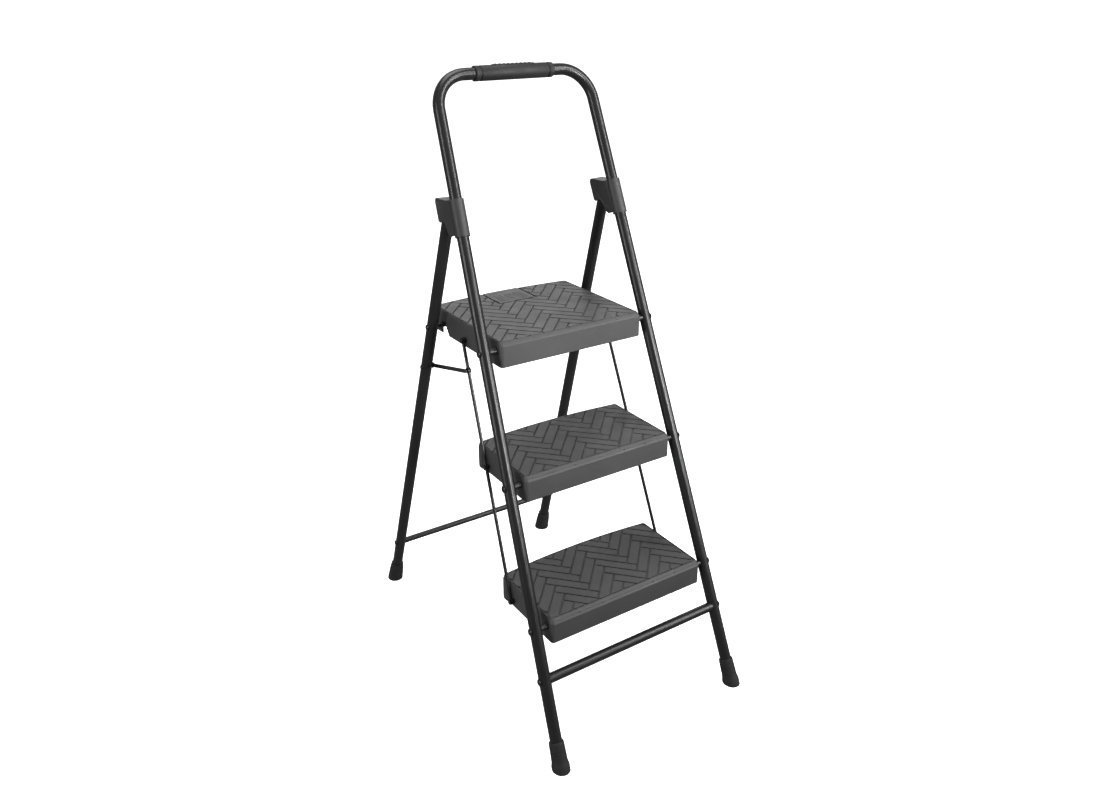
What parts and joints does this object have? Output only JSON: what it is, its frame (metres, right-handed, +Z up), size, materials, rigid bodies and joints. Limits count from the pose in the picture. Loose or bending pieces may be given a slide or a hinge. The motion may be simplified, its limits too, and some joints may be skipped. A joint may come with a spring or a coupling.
{
  "type": "step stool",
  "caption": "Folding step stool with moulded treads, a hooped hand rail, hinged rear legs and a latched top platform.",
  "frame": {"origin": "on the floor, at the middle of the overall width and depth, with the stool open and standing", "axes": "+X to the right seen from the front, +Y from the front feet to the rear feet, +Z up"},
  "size_m": [0.437, 0.725, 1.1551],
  "materials": {
    "black_steel": "satin black powder coat",
    "step_plastic": "fine-textured dark grey moulding",
    "bracket_plastic": "fine-textured dark grey moulding",
    "foot_rubber": "matte black rubber",
    "grip_foam": "soft black moulded grip",
    "zinc_steel": "zinc-plated"
  },
  "bodies": {
    "front_frame": {"front_frame_tube": "black_steel", "hand_grip": "grip_foam", "front_foot_left": "foot_rubber", "front_foot_right": "foot_rubber", "front_crossbar": "black_steel", "front_crossbar_rivets": "black_steel", "hinge_bracket_left": "bracket_plastic", "hinge_bracket_right": "bracket_plastic", "hinge_pins": "zinc_steel", "step_rivets": "black_steel", "step_spacers": "black_steel"},
    "rear_frame": {"rear_leg_left": "black_steel", "rear_leg_right": "black_steel", "rear_crossbar": "black_steel", "support_rod": "black_steel", "rear_foot_left": "foot_rubber", "rear_foot_right": "foot_rubber", "fold_link_rivets": "black_steel"},
    "top_platform": {"top_platform": "step_plastic", "platform_rod_pins": "black_steel", "latch_hinge_pin": "zinc_steel", "latch_spring": "zinc_steel"},
    "latch": {"latch_lever": "step_plastic"},
    "middle_step": {"middle_step": "step_plastic", "middle_rod_pins": "black_steel"},
    "bottom_step": {"bottom_step": "step_plastic", "bottom_rod_pins": "black_steel"},
    "link_rod_left": {"link_rod_left": "black_steel", "link_pin_left": "black_steel"},
    "link_rod_right": {"link_rod_right": "black_steel", "link_pin_right": "black_steel"},
    "fold_link_left": {"fold_link_left": "black_steel"},
    "fold_link_right": {"fold_link_right": "black_steel"}
  },
  "joints": [
    {"name": "platform_fold", "type": "hinge", "parent": "front_frame", "child": "top_platform", "pos_m": [0, -0.06448, 0.685], "axis": [1, 0, 0], "range_deg": [0, 67.75]},
    {"name": "middle_fold", "type": "hinge", "parent": "front_frame", "child": "middle_step", "pos_m": [0, -0.1549, 0.464], "axis": [1, 0, 0], "range_deg": [0, 67.75]},
    {"name": "bottom_fold", "type": "hinge", "parent": "front_frame", "child": "bottom_step", "pos_m": [0, -0.25104, 0.229], "axis": [1, 0, 0], "range_deg": [0, 67.75]},
    {"name": "rear_fold", "type": "hinge", "parent": "front_frame", "child": "rear_frame", "pos_m": [0, 0.06669, 0.89998], "axis": [-1, 0, 0], "range_deg": [0, 39.45]},
    {"name": "rod_left_swing", "type": "hinge", "parent": "top_platform", "child": "link_rod_left", "pos_m": [-0.15938, 0.04852, 0.67], "axis": [-1, 0, 0], "range_deg": [0, 67.75]},
    {"name": "rod_right_swing", "type": "hinge", "parent": "top_platform", "child": "link_rod_right", "pos_m": [0.15938, 0.04852, 0.67], "axis": [-1, 0, 0], "range_deg": [0, 67.75]},
    {"name": "link_left_swing", "type": "hinge", "parent": "rear_frame", "child": "fold_link_left", "pos_m": [-0.16836, 0.1645, 0.584], "axis": [-1, 0, 0], "range_deg": [0, 48.63]},
    {"name": "link_right_swing", "type": "hinge", "parent": "rear_frame", "child": "fold_link_right", "pos_m": [0.16836, 0.1645, 0.584], "axis": [-1, 0, 0], "range_deg": [0, 48.63]},
    {"name": "latch_lift", "type": "hinge", "parent": "top_platform", "child": "latch", "pos_m": [0, 0.13752, 0.69], "axis": [1, 0, 0], "range_deg": [0, 15], "stiffness_Nm_per_rad": 0.2}
  ],
  "couplings": [
    {"joint": "middle_fold", "follows": "platform_fold", "ratio": 1},
    {"joint": "bottom_fold", "follows": "platform_fold", "ratio": 1},
    {"joint": "rear_fold", "follows": "platform_fold", "ratio": 0.58228},
    {"joint": "rod_left_swing", "follows": "platform_fold", "ratio": 1},
    {"joint": "rod_right_swing", "follows": "platform_fold", "ratio": 1},
    {"joint": "link_left_swing", "follows": "platform_fold", "ratio": 0.71767},
    {"joint": "link_right_swing", "follows": "platform_fold", "ratio": 0.71767}
  ]
}
